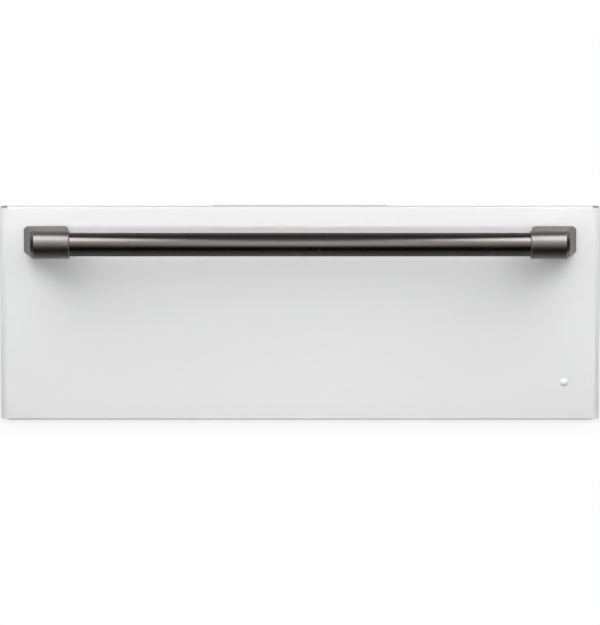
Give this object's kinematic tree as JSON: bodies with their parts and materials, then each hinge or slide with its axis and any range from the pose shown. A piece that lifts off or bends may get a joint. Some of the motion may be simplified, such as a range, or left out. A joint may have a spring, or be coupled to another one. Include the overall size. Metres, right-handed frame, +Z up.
{
  "type": "warming drawer",
  "caption": "Built-in warming drawer: white front with a dark bar handle, pull-out drawer with serving pan on telescopic slides, heated case behind.",
  "frame": {"origin": "middle of the underside of the base, on the floor of the cabinet cut-out", "axes": "+X to the right seen from the front, +Y to the rear, +Z up"},
  "size_m": [0.7556, 0.6508, 0.2729],
  "materials": {
    "panel_paint": "satin white powder coat",
    "handle_metal": "dark brushed metal",
    "galvanised_sheet": "galvanised sheet with faint spangle",
    "bright_liner": "bright aluminised sheet",
    "drawer_steel": "brushed stainless sheet",
    "pan_steel": "drawn stainless, satin",
    "rack_wire": "bright wire",
    "mineral_wool": "matted fibre",
    "element_sheath": "heat-darkened metal sheath",
    "probe_steel": "satin steel",
    "thermostat_body": "moulded body with metal cap",
    "terminal_plastic": "ivory moulding",
    "circuit_board": "green laminate",
    "gland_nylon": "black moulding",
    "screw_zinc": "zinc plated",
    "cable_jacket": "matte sleeve",
    "slide_zinc": "zinc-plated rolled steel",
    "ball_steel": "polished balls in a thin cage",
    "seal_silicone": "grey silicone",
    "lens_plastic": "white translucent dome",
    "lamp_plastic": "black moulding",
    "fascia_plastic": "grey moulding",
    "key_plastic": "light grey caps"
  },
  "bodies": {
    "cabinet": {"base_pan": "galvanised_sheet", "side_panel_left": "galvanised_sheet", "side_panel_right": "galvanised_sheet", "rear_panel": "galvanised_sheet", "top_cover": "galvanised_sheet", "front_frame": "galvanised_sheet", "liner_floor": "bright_liner", "liner_ceiling": "bright_liner", "liner_left": "bright_liner", "liner_right": "bright_liner", "liner_rear": "bright_liner", "case_insulation": "mineral_wool", "heating_element": "element_sheath", "element_clips": "bright_liner", "element_guard": "bright_liner", "temperature_probe": "probe_steel", "limit_thermostat": "thermostat_body", "terminal_block": "terminal_plastic", "power_board": "circuit_board", "access_cover": "galvanised_sheet", "cord_gland": "gland_nylon", "case_screws": "screw_zinc", "service_loop": "cable_jacket", "slide_outer_left": "slide_zinc", "slide_outer_right": "slide_zinc"},
    "drawer": {"slide_inner_left": "slide_zinc", "slide_inner_right": "slide_zinc", "front_panel": "panel_paint", "front_inner_panel": "drawer_steel", "front_insulation": "mineral_wool", "front_gasket": "seal_silicone", "handle_bar": "handle_metal", "handle_bracket_left": "handle_metal", "handle_bracket_right": "handle_metal", "handle_screws": "screw_zinc", "indicator_lens": "lens_plastic", "indicator_lamp": "lamp_plastic", "control_fascia": "fascia_plastic", "control_board": "circuit_board", "control_lead": "cable_jacket", "cable_duct": "drawer_steel", "drawer_side_left": "drawer_steel", "drawer_side_right": "drawer_steel", "drawer_floor": "drawer_steel", "drawer_rear_wall": "drawer_steel", "drawer_screws": "screw_zinc", "serving_pan": "pan_steel", "serving_rack": "rack_wire"},
    "middle_left": {"slide_middle_left": "slide_zinc"},
    "cage_outer_left": {"ball_cage_outer_left": "ball_steel"},
    "cage_inner_left": {"ball_cage_inner_left": "ball_steel"},
    "middle_right": {"slide_middle_right": "slide_zinc"},
    "cage_outer_right": {"ball_cage_outer_right": "ball_steel"},
    "cage_inner_right": {"ball_cage_inner_right": "ball_steel"},
    "power_key": {"key_power": "key_plastic"},
    "low_key": {"key_low": "key_plastic"},
    "medium_key": {"key_medium": "key_plastic"},
    "high_key": {"key_high": "key_plastic"},
    "shutter": {"vent_shutter": "drawer_steel"}
  },
  "joints": [
    {"name": "drawer_slide", "type": "slide", "parent": "cabinet", "child": "drawer", "axis": [0, -1, 0], "range_m": [0, 0.44], "deforming": ["service_loop"]},
    {"name": "middle_left_slide", "type": "slide", "parent": "cabinet", "child": "middle_left", "axis": [0, -1, 0], "range_m": [0, 0.22]},
    {"name": "cage_outer_left_slide", "type": "slide", "parent": "cabinet", "child": "cage_outer_left", "axis": [0, -1, 0], "range_m": [0, 0.11]},
    {"name": "cage_inner_left_slide", "type": "slide", "parent": "cabinet", "child": "cage_inner_left", "axis": [0, -1, 0], "range_m": [0, 0.33]},
    {"name": "middle_right_slide", "type": "slide", "parent": "cabinet", "child": "middle_right", "axis": [0, -1, 0], "range_m": [0, 0.22]},
    {"name": "cage_outer_right_slide", "type": "slide", "parent": "cabinet", "child": "cage_outer_right", "axis": [0, -1, 0], "range_m": [0, 0.11]},
    {"name": "cage_inner_right_slide", "type": "slide", "parent": "cabinet", "child": "cage_inner_right", "axis": [0, -1, 0], "range_m": [0, 0.33]},
    {"name": "power_key_press", "type": "slide", "parent": "drawer", "child": "power_key", "axis": [0, 0, -1], "range_m": [0, 0.0008], "stiffness_N_per_m": 900, "springref_m": -0.0006},
    {"name": "low_key_press", "type": "slide", "parent": "drawer", "child": "low_key", "axis": [0, 0, -1], "range_m": [0, 0.0008], "stiffness_N_per_m": 900, "springref_m": -0.0006},
    {"name": "medium_key_press", "type": "slide", "parent": "drawer", "child": "medium_key", "axis": [0, 0, -1], "range_m": [0, 0.0008], "stiffness_N_per_m": 900, "springref_m": -0.0006},
    {"name": "high_key_press", "type": "slide", "parent": "drawer", "child": "high_key", "axis": [0, 0, -1], "range_m": [0, 0.0008], "stiffness_N_per_m": 900, "springref_m": -0.0006},
    {"name": "shutter_slide", "type": "slide", "parent": "drawer", "child": "shutter", "axis": [1, 0, 0], "range_m": [0, 0.009]}
  ],
  "couplings": [
    {"joint": "middle_left_slide", "follows": "drawer_slide", "ratio": 0.5},
    {"joint": "cage_outer_left_slide", "follows": "drawer_slide", "ratio": 0.25},
    {"joint": "cage_inner_left_slide", "follows": "drawer_slide", "ratio": 0.75},
    {"joint": "middle_right_slide", "follows": "drawer_slide", "ratio": 0.5},
    {"joint": "cage_outer_right_slide", "follows": "drawer_slide", "ratio": 0.25},
    {"joint": "cage_inner_right_slide", "follows": "drawer_slide", "ratio": 0.75}
  ]
}
